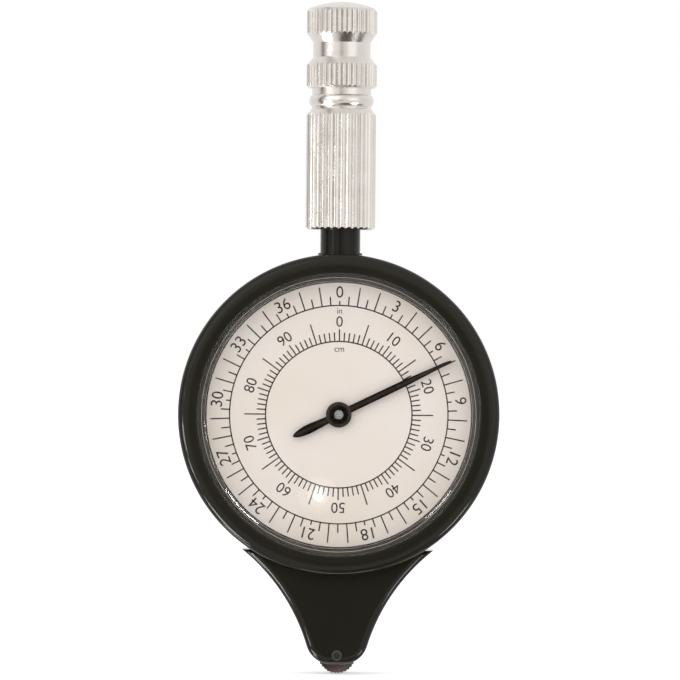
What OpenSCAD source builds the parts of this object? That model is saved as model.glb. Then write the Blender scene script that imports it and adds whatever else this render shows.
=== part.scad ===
// Opisometer, or map measurer: a tracing wheel in the nose turns a pointer over a round dial.
// Millimetres. +Z runs up through the handle, the dial faces -Y, and +X is to its reader's right.
// The origin is where the tracing wheel touches the map, in the middle of the wheel's width.

/* [Case] */
// Outer diameter of the round case
case_d = 50; // [48:0.5:54]
// Wall of the round case
case_wall = 1.6; // [1.2:0.1:2]
// Wall of the flat back
back_wall = 1.5; // [1:0.1:2.5]
// Width of the bezel, seen from the front
bezel_w = 3; // [2.5:0.1:4]
// Rounding of the bezel's outer edge
bezel_round = 1.3; // [0.4:0.1:1.4]
// Rounding of the bezel's inner edge
bezel_lip = 0.25; // [0.1:0.05:0.5]
// Rounding of the edge round the back
back_round = 1; // [0.4:0.1:1.4]
// Thickness of the ledge that carries the dial and the movement
ledge_t = 1.7; // [1.2:0.1:2.5]
// Width of the ledge, from the crystal's seat inwards
ledge_w = 1.7; // [1.2:0.1:2.5]

/* [Nose] */
// Height of the bezel's crest over the face of the nose
nose_step = 2.2; // [1:0.1:3]
// Wall of the nose
nose_wall = 1.1; // [0.8:0.1:1.2]
// Width across the nose's shoulders
shoulder_w = 29.8; // [27.6:0.2:31]
// How far the shoulders' corners stand out of the round case
shoulder_out = 0.8; // [0.2:0.02:1.4]
// Radius of the nose's hollow flanks
flank_r = 30.4; // [26:0.2:38]
// Radius of the corners at the nose's tip
tip_round = 4; // [3.4:0.1:4.4]
// Width of the flat between those corners
tip_flat = 1.8; // [1.4:0.1:2.6]
// Rounding of the edge round the nose
nose_round = 0.7; // [0.3:0.1:0.9]
// How far the tracing wheel stands out of the nose
wheel_show = 1.6; // [1.2:0.1:2]

/* [Dial and pointer] */
// Thickness of the dial
dial_t = 0.4; // [0.3:0.05:0.8]
// Hole in the dial for the centre arbor
dial_hole_d = 2.4; // [2.2:0.1:3]
// Height of the crystal over the dial
crystal_h = 3.3; // [3:0.1:4]
// Thickness of the crystal's face
crystal_t = 1.1; // [0.8:0.1:1.3]
// Thickness of the crystal's wall
crystal_wall = 1.25; // [0.8:0.05:1.5]
// Bevel round the crystal's face
crystal_bevel = 0.55; // [0.3:0.05:0.8]
// Depth of the crystal's face below the bezel's crest
crystal_recess = 0.3; // [0.1:0.1:0.6]
// Angle of the pointer at rest, clockwise from the dial's zero
pointer_angle = 64; // [0:1:359]
// Gap between the pointer's tip and the crystal's wall
pointer_gap = 1.23; // [0.5:0.01:4]
// Reach of the pointer's tail
tail_reach = 7.9; // [5:0.1:10]
// Thickness of the pointer's blade
pointer_t = 0.25; // [0.2:0.05:0.4]
// Diameter of the pointer's round hub
pointer_hub_d = 4; // [3.4:0.1:5]
// Gap between the dial and the pointer's boss
pointer_lift = 0.35; // [0.2:0.05:0.5]

/* [Gear train] */
// Map distance that turns the pointer once
map_per_turn = 1000; // [980:1:1020]
// Module of the tracing wheel's pinion, the idler and the first gear
fine_module = 0.24; // [0.23:0.005:0.245]
// Module of the other gears
main_module = 0.47; // [0.46:0.005:0.48]
// Teeth of each pinion
pinion_teeth = 10; // [10:1:11]
// Teeth of the idler
idler_teeth = 40; // [38:1:41]
// Teeth of the first gear
first_teeth = 35; // [34:1:36]
// Teeth of the second gear
second_teeth = 38; // [37:1:39]
// Teeth of the centre gear
centre_teeth = 40; // [39:1:41]
// Angle by which the second gear stands off the line up to the dial's centre
train_lean = 13; // [11:0.5:15]
// Thickness of a gear
gear_t = 0.8; // [0.6:0.05:0.85]
// Gap between two gears that run one behind the other
gear_gap = 0.35; // [0.3:0.05:0.5]
// Play between the flanks of two meshing teeth
backlash = 0.06; // [0.04:0.01:0.08]
// Pressure angle of the teeth
pressure_angle = 25; // [24:1:26]

/* [Movement] */
// Thickness of the front and the rear plate
plate_t = 0.7; // [0.5:0.05:1]
// Gap between a plate and the gear next to it
plate_gap = 0.4; // [0.3:0.05:0.6]
// Distance from the tracing wheel's middle plane forward to the front plate's face
plate_front = 1.5; // [1.4:0.05:1.8]
// Room behind the rear plate for its screw heads
head_room = 0.8; // [0.7:0.05:1.2]
// Diameter of the arbors
arbor_d = 1.2; // [1:0.05:1.4]
// Diameter of the pivots that turn in the plates
pivot_d = 0.8; // [0.6:0.05:0.9]
// Diameter of the seat that each gear is pressed on
seat_d = 1.8; // [1.6:0.05:2]
// Diameter of the flange that each gear is pressed against
flange_d = 3; // [2.4:0.1:3.2]
// Diameter of the centre arbor where it carries the pointer
centre_arbor_d = 1.4; // [1.3:0.05:1.6]
// Outer diameter of the bush that the centre arbor turns in
centre_bush_d = 2.8; // [2.4:0.1:3.2]
// Flange of that bush
centre_flange_d = 3.5; // [3.3:0.1:4.2]
// Diameter of the upper and middle pillars
pillar_d = 2.4; // [2:0.1:2.6]
// Diameter of the two low pillars in the nose
low_pillar_d = 2; // [1.8:0.1:2.2]
// Height of the top pillar over the dial's centre
top_pillar_rise = 12.6; // [12.3:0.1:14]
// Distance of the middle pillars from the centre line
mid_pillar_x = 13.5; // [13:0.1:14.5]
// Distance of the middle pillars below the dial's centre
mid_pillar_drop = 10.4; // [9:0.1:12]
// Height of the low pillars over the map
low_pillar_z = 13.5; // [13:0.1:14]

/* [Tracing wheel] */
// Width of the tracing wheel
wheel_w = 1.6; // [1.2:0.1:2]
// Serrations round the tracing wheel
wheel_serrations = 32; // [26:1:40]
// Depth of a serration
serration_depth = 0.16; // [0.08:0.02:0.24]
// Bevel of the tracing wheel's edges
wheel_bevel = 0.2; // [0.1:0.05:0.4]
// Diameter of the tracing wheel's arbor
wheel_arbor_d = 1.6; // [1.4:0.05:1.7]
// Diameter of its pivots
wheel_pivot_d = 1; // [0.8:0.05:1.1]
// Outer diameter of the bushes that the pivots turn in
wheel_bush_d = 1.6; // [1.5:0.05:2]

/* [Handle] */
// Length of stem that shows between the case and the handle
stem_show = 3.85; // [3:0.05:6]
// Diameter of the stem
stem_d = 6.25; // [5.8:0.05:7]
// Diameter of the stem's neck, which the two shells clamp
stem_neck_d = 4; // [3.5:0.1:4.5]
// Diameter of the stem's spigot in the handle
spigot_d = 5; // [4:0.1:5.4]
// Length of that spigot
spigot_len = 12; // [8:0.5:15]
// Diameter of the stem's head inside the case
stem_head_d = 5.4; // [5:0.1:5.6]
// Height of that head
stem_head_h = 1.4; // [1:0.1:2]
// Thickness of the pads over that head, inside the case's wall
stem_pad_t = 1.2; // [0.8:0.1:1.6]
// Height of the stem's seat over the top of the case
stem_seat_h = 0.2; // [0.1:0.05:0.5]
// Width of that seat round the stem
stem_seat_w = 0.35; // [0.2:0.05:0.6]
// Diameter over the long barrel's ribs
barrel_d = 10.9; // [10:0.1:12]
// Length of the long barrel
barrel_len = 17.85; // [15:0.05:24]
// Height of the slope from the barrel to the waist
barrel_slope = 1.1; // [0.6:0.1:1.5]
// Diameter of the waist
waist_d = 9.2; // [8.4:0.1:9.6]
// Length of the waist
waist_len = 3.15; // [2.4:0.05:4]
// Diameter of the bead round the waist
bead_d = 10.05; // [9.7:0.05:10.4]
// Height of the bead
bead_h = 1.9; // [1.4:0.1:2.2]
// Height of the bead's middle over the foot of the waist
bead_rise = 1.15; // [1.1:0.05:1.4]
// Diameter over the ribs of the ring and the knob
knob_d = 11; // [10:0.1:12]
// Length of the ribbed ring
ring_len = 3.55; // [2.5:0.05:5]
// Height of the slope from the ring to the neck
ring_slope = 1.25; // [0.8:0.05:1.6]
// Diameter of the neck under the knob
neck_d = 8.95; // [8:0.05:9.6]
// Length of that neck
neck_len = 2.3; // [1.5:0.1:4]
// Height of the slope from the neck to the knob
knob_slope = 1.6; // [1:0.1:2]
// Length of the knob's ribs
knob_len = 3.2; // [2:0.1:5]
// Height of the bevel round the knob's top
knob_bevel = 0.55; // [0.3:0.05:0.8]
// Height of the knob's dome
dome_h = 1.05; // [0.6:0.05:1.5]
// Ribs round the barrel
barrel_ribs = 31; // [24:1:36]
// Ribs round the ring and the knob
knob_ribs = 40; // [32:1:48]
// Depth of the grooves between the ribs
groove_depth = 0.28; // [0.15:0.01:0.4]

/* [Screws] */
// Diameter of the case screws
case_screw_d = 1.7; // [1.4:0.1:2]
// Head of the case screws
case_head_d = 3; // [2.6:0.1:3.2]
// Height of the case screws' heads
case_head_h = 1; // [0.7:0.1:1.2]
// Depth of those heads below the back
case_head_sink = 0.3; // [0.1:0.05:0.5]
// Diameter of the bosses for the case screws
case_boss_d = 4.6; // [4.2:0.1:5]
// Angle of the upper bosses above the level of the dial's centre
high_boss_turn = 45; // [40:1:50]
// Angle of the lower bosses below it
low_boss_turn = 20; // [16:1:24]
// Diameter of the screws that hold the movement to the ledge
movement_screw_d = 1.2; // [1:0.1:1.3]
// Head of those screws
movement_head_d = 2.2; // [1.9:0.1:2.5]
// Diameter of the screws that hold the rear plate to the pillars
plate_screw_d = 0.9; // [0.7:0.05:1]
// Head of those screws
plate_head_d = 1.9; // [1.6:0.1:2.2]
// Height of the small screws' heads
small_head_h = 0.5; // [0.3:0.05:0.55]

/* [Fits] */
// Radial clearance of a pivot that turns in its hole
running_fit = 0.04; // [0.02:0.01:0.08]
// Radial clearance of a piece that is pressed or glued in place
fixed_fit = 0.02; // [0.01:0.01:0.03]
// Play of a turning piece along its axis
end_play = 0.05; // [0.03:0.01:0.1]
// Clearance round what turns inside the nose
turning_room = 0.3; // [0.2:0.05:0.32]

/* [Hidden] */
$fn = 96;

// Proportions of a tooth, in modules
addendum = 0.8;
dedendum = 1;
flank_points = 3;
// Steps of the arcs in the outlines
round_steps = 6;
tip_steps = 8;
flank_steps = 12;
edge_layers = 4;
// A cut runs this far past the face that it opens
past = 1;

// Radii
case_r = case_d / 2;
inner_r = case_r - case_wall;
seat_r = case_r - bezel_w;
ledge_r = seat_r - ledge_w;
crystal_r = seat_r - fixed_fit;
dial_r = crystal_r - crystal_wall / 4;
pointer_reach = crystal_r - crystal_wall - pointer_gap;

// Levels along Y, forward from the front plate to the crest
ledge_back = -plate_front;
ledge_front = ledge_back - ledge_t;
dial_front = ledge_front - dial_t;
crystal_front = dial_front - crystal_h;
crystal_under = crystal_front + crystal_t;
crest = crystal_front - crystal_recess;
nose_front = crest + nose_step;

// Levels along Y, back from the front plate to the back of the case
front_plate_back = ledge_back + plate_t;
centre_gear_y = front_plate_back + plate_gap;
second_gear_y = centre_gear_y + gear_t + gear_gap;
first_gear_y = second_gear_y + gear_t + gear_gap;
rear_plate_y = first_gear_y + gear_t + plate_gap;
rear_plate_back = rear_plate_y + plate_t;
inner_back = rear_plate_back + head_room;
case_back = inner_back + back_wall;

// The train, from the tracing wheel up to the pointer
train_ratio = first_teeth * second_teeth * centre_teeth / pow(pinion_teeth, 3);
wheel_r = map_per_turn / (2 * PI * train_ratio);
wheel_at = [0, wheel_r];
idler_at = wheel_at + [0, mesh_distance(fine_module, pinion_teeth, idler_teeth)];
first_at = idler_at + [0, mesh_distance(fine_module, idler_teeth, first_teeth)];
second_reach = mesh_distance(main_module, pinion_teeth, second_teeth);
centre_reach = mesh_distance(main_module, pinion_teeth, centre_teeth);
second_at = first_at + second_reach * [sin(train_lean), cos(train_lean)];
centre_at = [0, second_at[1] + sqrt(pow(centre_reach, 2) - pow(second_at[0], 2))];
dial_z = centre_at[1];

// Where the teeth stand, so that each pair is in mesh
wheel_phase = 90;
idler_phase = mesh_phase(90, wheel_phase, pinion_teeth, idler_teeth);
first_phase = mesh_phase(90, idler_phase, idler_teeth, first_teeth);
second_dir = 90 - train_lean;
second_phase = mesh_phase(second_dir, 0, pinion_teeth, second_teeth);
centre_dir = atan2(dial_z - second_at[1], -second_at[0]);
centre_phase = mesh_phase(centre_dir, 0, pinion_teeth, centre_teeth);

// The nose's outline
shoulder_drop = sqrt(pow(case_r + shoulder_out, 2) - pow(shoulder_w / 2, 2));
shoulder = [shoulder_w / 2, dial_z - shoulder_drop];
tip_centre = [tip_flat / 2, wheel_show + tip_round];
flank_centre = circles_meet(shoulder, flank_r, tip_centre, flank_r + tip_round);
tip_end = atan2(flank_centre[1] - tip_centre[1], flank_centre[0] - tip_centre[0]);

// The hollow of the nose, and the chambers for what turns in its tip
pinion_tip_r = (pinion_teeth / 2 + addendum) * fine_module;
idler_tip_r = (idler_teeth / 2 + addendum) * fine_module;
chamber_r = wheel_r + turning_room;
chamber_front = -wheel_w / 2 - turning_room;
chamber_back = wheel_w / 2 + turning_room;
hollow_floor = wheel_at[1] + chamber_r + nose_wall / 4;
passage_floor = shoulder[1] - 2 * nose_wall;

// Pillars, pads and screws
pad_margin = 0.4;
plate_room = 0.3;
pad_d = pillar_d + 2 * pad_margin;
low_pad_d = low_pillar_d + 2 * pad_margin;
low_pad_reach = flank_r + nose_wall + plate_room + low_pad_d / 2;
low_pillar_x = flank_centre[0] - sqrt(pow(low_pad_reach, 2) - pow(low_pillar_z - flank_centre[1], 2));
pivot_pad_d = 4.4;
top_pillar = [0, dial_z + top_pillar_rise];
mid_pillar_z = dial_z - mid_pillar_drop;
mid_pillars = [for (side = [-1, 1]) [side * mid_pillar_x, mid_pillar_z]];
low_pillars = [for (side = [-1, 1]) [side * low_pillar_x, low_pillar_z]];
big_pillars = concat([top_pillar], mid_pillars);
ear_r = (ledge_r + inner_r) / 2 - pad_margin;
ear_d = 2 * (inner_r - ear_r) - pad_margin;
ears = [for (turn = [0, 120, 240]) ear_r * [cos(turn), sin(turn)] + centre_at];
boss_r = inner_r - case_boss_d / 2 + pad_margin;
boss_turns = [high_boss_turn, 180 - high_boss_turn, 180 + low_boss_turn, -low_boss_turn];
bosses = [for (turn = boss_turns) boss_r * [cos(turn), sin(turn)] + centre_at];
case_head_y = case_back - case_head_sink - case_head_h;
slot_w = 0.35;
pillar_spigot_d = 1.2;
plate_screw_len = 2;

// The stem and the handle, up from the case
case_top = dial_z + case_r;
stem_boss_top = case_top + stem_seat_h;
stem_boss_d = stem_d + 2 * stem_seat_w;
stem_pad_w = stem_head_d + 2 * case_wall;
stem_head_top = dial_z + inner_r - stem_pad_t;
stem_head_z = stem_head_top - stem_head_h;
handle_z = case_top + stem_show;
barrel_top = handle_z + barrel_len;
waist_z = barrel_top + barrel_slope;
ring_z = waist_z + waist_len;
ring_top = ring_z + ring_len;
neck_z = ring_top + ring_slope;
neck_top = neck_z + neck_len;
knob_z = neck_top + knob_slope;
knob_top = knob_z + knob_len;
dome_z = knob_top + knob_bevel;
handle_top = dome_z + dome_h;
groove_points = 6;
pivot_sink = 0.15;
// The fluted lengths are bevelled this much deeper than their grooves
bevel_margin = 0.1;
end_bevel = groove_depth + bevel_margin;
knob_bevel_r = knob_d / 2 - end_bevel;

// Levels of the pointer: its boss stands over the dial, its blade lies half way up the boss
boss_h = 1.05;
boss_d = 2.6;
boss_back = dial_front - pointer_lift;
boss_front = boss_back - boss_h;
blade_front = (boss_back + boss_front) / 2 - pointer_t / 2;
arbor_front = boss_front - pointer_t;

// Widths of the blade at its root, at the start of its taper and at its tip, and of the tail
root_w = 1.1;
taper_w = 1.05;
taper_start = 11;
near_tip_w = 0.5;
near_tip = 1;
tail_w = 1.5;
tail_belly = 2.3;

// Distance between the centres of two meshing gears
function mesh_distance(m, n1, n2) = m * (n1 + n2) / 2;

// Phase of gear 2, which lies in direction dir from gear 1, to mesh with gear 1 at phase p1
function mesh_phase(dir, p1, n1, n2) = dir + 180 - 180 / n2 + (dir - p1) * n1 / n2;

// Points of an arc from angle a0 to a1
function arc_points(c, r, a0, a1, steps) =
    [for (i = [0:steps]) let (a = a0 + (a1 - a0) * i / steps) c + r * [cos(a), sin(a)]];

// Point on the way from a through b, past b
function beyond(a, b) = b + past * (b - a) / norm(b - a);

// Centre of the circle that meets both distances, on the right of the way from a to b
function circles_meet(a, ra, b, rb) =
    let (
        d = norm(b - a),
        u = (b - a) / d,
        along = (ra * ra - rb * rb + d * d) / (2 * d)
    )
    a + along * u + sqrt(ra * ra - along * along) * [-u[1], u[0]];

// Right half of the nose's outline, drawn in by an inset, from the tip up to the shoulder
function nose_half(inset) =
    let (
        r = flank_r + inset,
        shoulder_end = 180 - asin((shoulder[1] - inset - flank_centre[1]) / r)
    )
    concat(
        arc_points(tip_centre, tip_round - inset, -90, tip_end, tip_steps),
        arc_points(flank_centre, r, 180 + tip_end, shoulder_end, flank_steps));

// The whole outline
function nose_outline(inset) =
    let (half = nose_half(inset))
    concat(half, [for (i = [len(half) - 1:-1:0]) [-half[i][0], half[i][1]]]);

// Half the width of the passage down into the nose at height z, from the middle to the low pillars
function passage_half(z, room) =
    let (share = (mid_pillar_z - z) / (mid_pillar_z - low_pillar_z))
    (1 - share) * (mid_pillar_x + pad_d / 2) + share * (low_pillar_x + low_pad_d / 2) + room;

// Involute of an angle, in degrees
function involute(a) = tan(a) * 180 / PI - a;

// Half angle of a tooth at radius r
function tooth_half(r, m, n) =
    let (base_r = m * n / 2 * cos(pressure_angle))
    (PI * m - backlash) / (2 * m * n) * 180 / PI + involute(pressure_angle)
        - involute(acos(min(1, base_r / r)));

// Outline of a gear of module m with n teeth, one of them centred on angle phase
function gear_outline(m, n, phase) =
    let (
        root_r = m * (n / 2 - dedendum),
        tip_r = m * (n / 2 + addendum),
        start_r = max(root_r, m * n / 2 * cos(pressure_angle)),
        radii = [for (i = [0:flank_points]) start_r + (tip_r - start_r) * i / flank_points],
        foot = root_r < start_r ? [root_r] : [],
        up = concat(foot, radii),
        last = len(up) - 1
    )
    [for (k = [0:n - 1], side = [-1, 1], i = [0:last])
        let (
            r = side < 0 ? up[i] : up[last - i],
            a = phase + k * 360 / n + side * tooth_half(max(r, start_r), m, n)
        )
        r * [cos(a), sin(a)]];

// Outline with round ribs and sharp grooves between them
function ribbed_outline(r, ribs, depth) =
    [for (k = [0:ribs - 1], i = [0:groove_points - 1])
        let (share = i / groove_points, a = (k + share) * 360 / ribs)
        (r - depth * (1 - sin(180 * share))) * [cos(a), sin(a)]];

// Raises a flat shape drawn in X and Z from level y0 back to level y1
module slab(y0, y1) {
    translate([0, y1, 0]) rotate([90, 0, 0]) linear_extrude(y1 - y0) children();
}

// A round bar along Y at point at
module rod(at, d, y0, y1) {
    translate([at[0], y1, at[1]]) rotate([90, 0, 0]) cylinder(d = d, h = y1 - y0);
}

// A profile of radius and Y, turned round the dial's axis
module round_dial_axis(profile) {
    translate([0, 0, dial_z]) rotate([-90, 0, 0]) rotate_extrude() polygon(profile);
}

// A gear at point at, its teeth from level y on
module gear(at, m, n, phase, y) {
    translate([at[0], 0, at[1]]) slab(y, y + gear_t) polygon(gear_outline(m, n, phase));
}

// The nose's solid between two levels, drawn in by an inset
module nose_slab(inset, y0, y1) {
    slab(y0, y1) polygon(nose_outline(inset));
}

// Thin slabs that round the nose's edge, from its face at level y inwards along way, 1 or -1
module nose_edge(y, way) {
    step = nose_round / edge_layers;
    for (layer = [0:edge_layers - 1]) {
        depth = nose_round - (layer + 0.5) * step;
        inset = nose_round - sqrt(pow(nose_round, 2) - pow(depth, 2));
        y0 = y + way * layer * step;
        nose_slab(inset, min(y0, y0 + way * step), max(y0, y0 + way * step));
    }
}

// Outline of the hollow inside both shells, drawn in by an inset
module hollow_shape(inset) {
    low_half = passage_half(passage_floor, 2 * plate_room - inset);
    high_half = passage_half(mid_pillar_z, 2 * plate_room - inset);
    translate(centre_at) circle(inner_r - inset);
    intersection() {
        polygon(nose_outline(nose_wall + inset));
        translate([-case_r, hollow_floor + inset]) square([case_d, case_r]);
    }
    polygon([
        [-low_half, passage_floor], [low_half, passage_floor],
        [high_half, mid_pillar_z], [-high_half, mid_pillar_z]]);
}

// What is hollow inside both shells
module case_hollow() {
    slab(ledge_back, inner_back) hollow_shape(0);
    rod(wheel_at, 2 * chamber_r, chamber_front, chamber_back);
    rod(wheel_at, 2 * (pinion_tip_r + turning_room), chamber_front, rear_plate_y);
    rod(idler_at, 2 * (idler_tip_r + turning_room), chamber_back, rear_plate_y);
}

// Pads inside the top wall that hold the stem's neck
module stem_pads() {
    translate([-stem_pad_w / 2, -stem_head_d / 2, stem_head_top])
        cube([stem_pad_w, stem_head_d, dial_z + inner_r - stem_head_top]);
}

// The hole for the stem's neck, and the pocket for its head
module stem_hole() {
    translate([0, 0, dial_z + ledge_r]) cylinder(d = stem_neck_d + 2 * fixed_fit, h = case_r);
    translate([0, 0, stem_head_z - end_play])
        cylinder(d = stem_head_d + 2 * fixed_fit, h = stem_head_h + end_play);
}

// A seat for the stem on top of the case
module stem_boss() {
    translate([0, 0, dial_z + inner_r + case_wall / 2])
        cylinder(d = stem_boss_d, h = stem_boss_top - dial_z - inner_r - case_wall / 2);
}

// Keeps the half of its children that lies between two levels
module between(y0, y1) {
    intersection() {
        children();
        translate([-case_d, y0, -past]) cube([2 * case_d, y1 - y0, dial_z + case_d]);
    }
}

// Holes through the bushes' seats in the nose's tip
module bush_holes() {
    rod(wheel_at, wheel_bush_d + 2 * fixed_fit, nose_front - past, case_back + past);
}

module front_shell() {
    bezel = concat(
        [[0, crest]],
        [[case_r - bezel_round, crest]],
        arc_points([case_r - bezel_round, crest + bezel_round], bezel_round, -90, 0, round_steps),
        [[case_r, 0], [0, 0]]);
    lip_cut = concat(
        arc_points([seat_r + bezel_lip, crest + bezel_lip], bezel_lip, 180, 270, round_steps),
        [[seat_r + bezel_lip, crest - past], [0, crest - past], [0, crest + bezel_lip]]);
    color("#26241f") difference() {
        union() {
            difference() {
                union() {
                    round_dial_axis(bezel);
                    nose_slab(0, nose_front + nose_round, 0);
                    nose_edge(nose_front, 1);
                    between(crest, 0) stem_boss();
                }
                case_hollow();
                rod(centre_at, 2 * seat_r, crest - past, ledge_front);
                rod(centre_at, 2 * ledge_r, crest - past, ledge_back + past);
                round_dial_axis(lip_cut);
            }
            between(ledge_back, 0) stem_pads();
            for (at = bosses) rod(at, case_boss_d, ledge_back, 0);
        }
        stem_hole();
        bush_holes();
        for (at = bosses) rod(at, case_screw_d + 2 * fixed_fit, ledge_front + ledge_t / 4, past);
        for (at = ears) rod(at, movement_screw_d + 2 * fixed_fit, ledge_front - past, 0);
    }
}

module rear_shell() {
    back = concat(
        [[0, 0], [case_r, 0]],
        arc_points([case_r - back_round, case_back - back_round], back_round, 0, 90, round_steps),
        [[0, case_back]]);
    color("#26241f") difference() {
        union() {
            difference() {
                union() {
                    round_dial_axis(back);
                    nose_slab(0, 0, case_back - nose_round);
                    nose_edge(case_back, -1);
                    between(0, inner_back) stem_boss();
                }
                case_hollow();
            }
            between(0, inner_back) stem_pads();
            for (at = bosses) rod(at, case_boss_d, 0, inner_back);
        }
        stem_hole();
        bush_holes();
        for (at = bosses) {
            rod(at, case_screw_d + 4 * fixed_fit, -past, case_back);
            rod(at, case_head_d + 4 * fixed_fit, case_head_y, case_back + past);
        }
    }
}

module crystal() {
    cup = [
        [0, crystal_front], [crystal_r - crystal_bevel, crystal_front],
        [crystal_r, crystal_front + crystal_bevel], [crystal_r, dial_front],
        [crystal_r - crystal_wall, dial_front], [crystal_r - crystal_wall, crystal_under],
        [0, crystal_under]];
    color("#dfe8ea", 0.35) round_dial_axis(cup);
}

module dial() {
    color("#ece3dc") difference() {
        rod(centre_at, 2 * dial_r, dial_front, ledge_front);
        rod(centre_at, dial_hole_d, dial_front - past, ledge_front + past);
    }
}

// Outline of both plates between the pillars and the idler's pivot, clear of the case
module plate_shape() {
    intersection() {
        hull() {
            for (at = big_pillars) translate(at) circle(d = pad_d);
            for (at = low_pillars) translate(at) circle(d = low_pad_d);
            translate(idler_at) circle(d = pivot_pad_d);
        }
        union() hollow_shape(plate_room);
    }
}

module front_plate() {
    color("#c9a54f") difference() {
        slab(ledge_back, front_plate_back) {
            plate_shape();
            for (at = ears) {
                turn = atan2(at[1] - dial_z, at[0]);
                translate(centre_at) rotate(turn) translate([0, -ear_d / 2]) square([ear_r, ear_d]);
                translate(at) circle(d = ear_d);
            }
        }
        rod(centre_at, centre_bush_d + 2 * fixed_fit, ledge_back - past, past);
        for (at = [idler_at, first_at, second_at])
            rod(at, pivot_d + 2 * running_fit, ledge_back - past, past);
        for (at = concat(big_pillars, low_pillars))
            rod(at, pillar_spigot_d + 2 * fixed_fit, ledge_back - past, past);
        for (at = ears) rod(at, movement_screw_d + 4 * fixed_fit, ledge_back - past, past);
        // Room beside the ears for the case's bosses
        for (at = bosses) rod(at, case_boss_d + 2 * plate_room, ledge_back - past, past);
    }
}

module rear_plate() {
    y0 = rear_plate_y - past;
    y1 = rear_plate_back + past;
    color("#c9a54f") difference() {
        slab(rear_plate_y, rear_plate_back) plate_shape();
        for (at = [idler_at, first_at, second_at, centre_at])
            rod(at, pivot_d + 2 * running_fit, y0, y1);
        for (at = concat(big_pillars, low_pillars)) rod(at, plate_screw_d + 4 * fixed_fit, y0, y1);
    }
}

// A pillar between the plates, riveted to the front one and tapped for a screw at the rear
module pillar(at, d) {
    difference() {
        union() {
            rod(at, d, front_plate_back, rear_plate_y);
            rod(at, pillar_spigot_d, ledge_back, front_plate_back + pad_margin);
        }
        rod(at, plate_screw_d + 2 * fixed_fit, rear_plate_y - plate_screw_len, rear_plate_y + past);
    }
}

module plate_pillars() {
    color("#b8933f") {
        for (at = big_pillars) pillar(at, pillar_d);
        for (at = low_pillars) pillar(at, low_pillar_d);
    }
}

// A slotted screw whose head stands on level y and whose shank reaches forward
module slotted_screw(at, d, head_d, y, len) {
    difference() {
        union() {
            rod(at, d, y - len, y + small_head_h / 2);
            rod(at, head_d, y, y + small_head_h);
        }
        translate([at[0] - head_d, y + small_head_h / 2, at[1] - slot_w / 2])
            cube([2 * head_d, small_head_h, slot_w]);
    }
}

module plate_screws() {
    color("#9a9aa0") for (at = concat(big_pillars, low_pillars))
        slotted_screw(at, plate_screw_d, plate_head_d, rear_plate_back, plate_t + plate_screw_len - end_play);
}

module movement_screws() {
    color("#9a9aa0") for (at = ears)
        slotted_screw(at, movement_screw_d, movement_head_d, front_plate_back,
            plate_t + ledge_t - pad_margin);
}

// A case screw, its head sunk in the back, with a cross recess
module case_screw(at) {
    recess = case_head_d / 2 + slot_w / 2;
    difference() {
        union() {
            rod(at, case_screw_d, ledge_front + ledge_t / 2, case_head_y + case_head_h / 2);
            rod(at, case_head_d, case_head_y, case_head_y + case_head_h);
        }
        translate([at[0], case_head_y + case_head_h, at[1]]) {
            cube([recess, case_head_h, slot_w], center = true);
            cube([slot_w, case_head_h, recess], center = true);
        }
    }
}

module case_screws() {
    color("#8d8d92") for (at = bosses) case_screw(at);
}

// A flanged bush in the front plate for the centre arbor
module centre_bush() {
    color("#b8933f") difference() {
        union() {
            rod(centre_at, centre_bush_d, ledge_back - small_head_h / 2, front_plate_back);
            rod(centre_at, centre_flange_d, ledge_back - small_head_h, ledge_back);
        }
        rod(centre_at, centre_arbor_d + 2 * running_fit, dial_front, past);
    }
}

// Bushes in the nose's tip for the tracing wheel's pivots
module wheel_bush(y0, y1) {
    difference() {
        rod(wheel_at, wheel_bush_d, y0, y1);
        rod(wheel_at, wheel_pivot_d + 2 * running_fit, y0 - past, y1 + past);
    }
}

module wheel_bushes() {
    color("#77756f") {
        wheel_bush(nose_front + end_play, chamber_front);
        wheel_bush(rear_plate_y, case_back - end_play);
    }
}

module handle_stem() {
    color("#1d1c19") {
        translate([0, 0, stem_head_z]) cylinder(d = stem_head_d, h = stem_head_h);
        translate([0, 0, stem_head_z]) cylinder(d = stem_neck_d, h = stem_boss_top + past - stem_head_z);
        translate([0, 0, stem_boss_top]) cylinder(d = stem_d, h = handle_z - stem_boss_top);
        translate([0, 0, handle_z - past]) cylinder(d = spigot_d, h = spigot_len + past);
    }
}

// A fluted length of the handle. It widens from point low to its full diameter at level
// full_z, and narrows from level shoulder_z to point high.
module fluted(d, ribs, low, full_z, shoulder_z, high) {
    intersection() {
        translate([0, 0, low[1]]) linear_extrude(high[1] - low[1])
            polygon(ribbed_outline(d / 2, ribs, groove_depth));
        rotate_extrude() polygon([
            [0, low[1]], low, beyond(low, [d / 2, full_z]),
            beyond(high, [d / 2, shoulder_z]), high, [0, high[1]]]);
    }
}

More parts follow.
